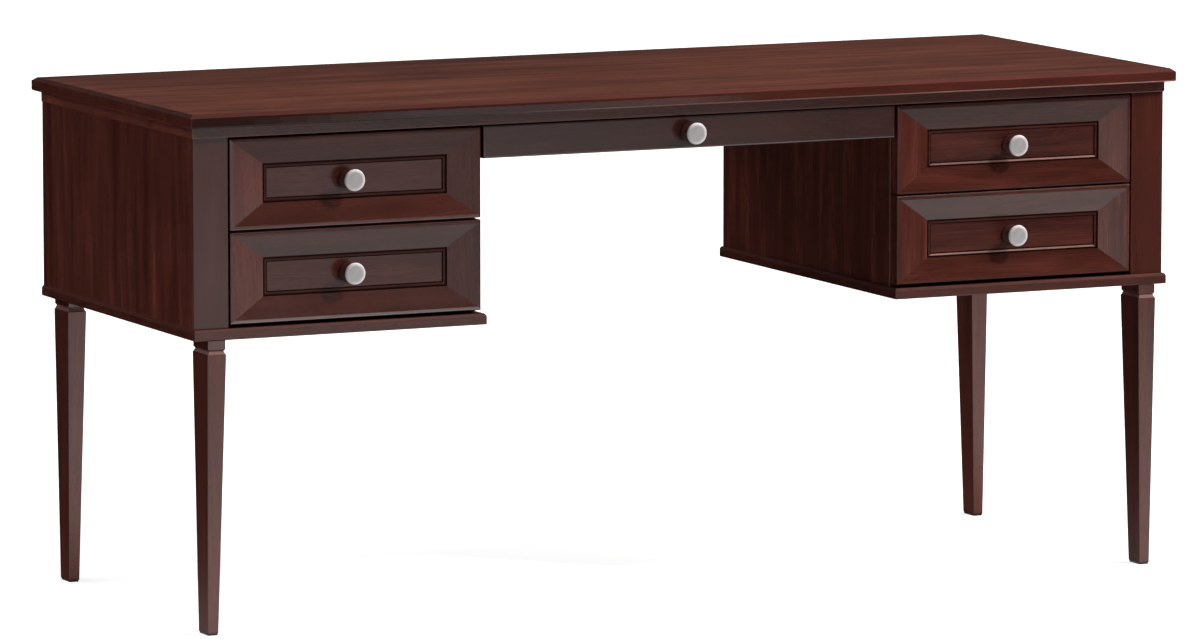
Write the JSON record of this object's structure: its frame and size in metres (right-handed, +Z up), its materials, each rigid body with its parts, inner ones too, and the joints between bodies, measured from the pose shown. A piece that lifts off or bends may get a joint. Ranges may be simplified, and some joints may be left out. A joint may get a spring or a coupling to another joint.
{
  "type": "writing desk",
  "caption": "Writing desk with a bevelled top, drawer pedestals beside an open kneehole, a shallow centre drawer, framed drawer fronts with round knobs, and tapered legs.",
  "frame": {"origin": "on the floor under the middle of the whole desk, knobs included", "axes": "+X across the desk to the right of someone facing its drawers, +Y from the front to the back, +Z up"},
  "size_m": [1.6, 0.6244, 0.753],
  "materials": {
    "top_wood": "satin stain, long grain",
    "frame_wood": "satin stain",
    "front_wood": "satin stain, mitred frame",
    "drawer_wood": "sealed, pale",
    "panel_wood": "veneered board",
    "knob_wood": "dark stain, turned",
    "knob_metal": "satin",
    "glide_plastic": "matt"
  },
  "bodies": {
    "desk_frame": {"top_panel": "top_wood", "sub_top": "frame_wood", "kneehole_rail": "frame_wood", "left_outer_side": "frame_wood", "left_stile": "frame_wood", "left_inner_side": "frame_wood", "left_back_panel": "panel_wood", "left_divider": "drawer_wood", "left_base_plate": "frame_wood", "left_runners": "drawer_wood", "right_outer_side": "frame_wood", "right_stile": "frame_wood", "right_inner_side": "frame_wood", "right_back_panel": "panel_wood", "right_divider": "drawer_wood", "right_base_plate": "frame_wood", "right_runners": "drawer_wood", "front_left_leg": "frame_wood", "front_right_leg": "frame_wood", "back_left_leg": "frame_wood", "back_right_leg": "frame_wood", "leg_glides": "glide_plastic", "centre_runners": "drawer_wood"},
    "left_upper_drawer": {"left_upper_front": "front_wood", "left_upper_left_side": "drawer_wood", "left_upper_right_side": "drawer_wood", "left_upper_back": "drawer_wood", "left_upper_bottom": "panel_wood", "left_upper_knob_body": "knob_wood", "left_upper_knob_cap": "knob_metal"},
    "left_lower_drawer": {"left_lower_front": "front_wood", "left_lower_left_side": "drawer_wood", "left_lower_right_side": "drawer_wood", "left_lower_back": "drawer_wood", "left_lower_bottom": "panel_wood", "left_lower_knob_body": "knob_wood", "left_lower_knob_cap": "knob_metal"},
    "right_upper_drawer": {"right_upper_front": "front_wood", "right_upper_left_side": "drawer_wood", "right_upper_right_side": "drawer_wood", "right_upper_back": "drawer_wood", "right_upper_bottom": "panel_wood", "right_upper_knob_body": "knob_wood", "right_upper_knob_cap": "knob_metal"},
    "right_lower_drawer": {"right_lower_front": "front_wood", "right_lower_left_side": "drawer_wood", "right_lower_right_side": "drawer_wood", "right_lower_back": "drawer_wood", "right_lower_bottom": "panel_wood", "right_lower_knob_body": "knob_wood", "right_lower_knob_cap": "knob_metal"},
    "centre_drawer": {"centre_front": "front_wood", "centre_left_side": "drawer_wood", "centre_right_side": "drawer_wood", "centre_back": "drawer_wood", "centre_bottom": "panel_wood", "centre_knob_body": "knob_wood", "centre_knob_cap": "knob_metal"}
  },
  "joints": [
    {"name": "left_upper_slide", "type": "slide", "parent": "desk_frame", "child": "left_upper_drawer", "axis": [0, -1, 0], "range_m": [0, 0.33]},
    {"name": "left_lower_slide", "type": "slide", "parent": "desk_frame", "child": "left_lower_drawer", "axis": [0, -1, 0], "range_m": [0, 0.33]},
    {"name": "right_upper_slide", "type": "slide", "parent": "desk_frame", "child": "right_upper_drawer", "axis": [0, -1, 0], "range_m": [0, 0.33]},
    {"name": "right_lower_slide", "type": "slide", "parent": "desk_frame", "child": "right_lower_drawer", "axis": [0, -1, 0], "range_m": [0, 0.33]},
    {"name": "centre_slide", "type": "slide", "parent": "desk_frame", "child": "centre_drawer", "axis": [0, -1, 0], "range_m": [0, 0.28]}
  ]
}
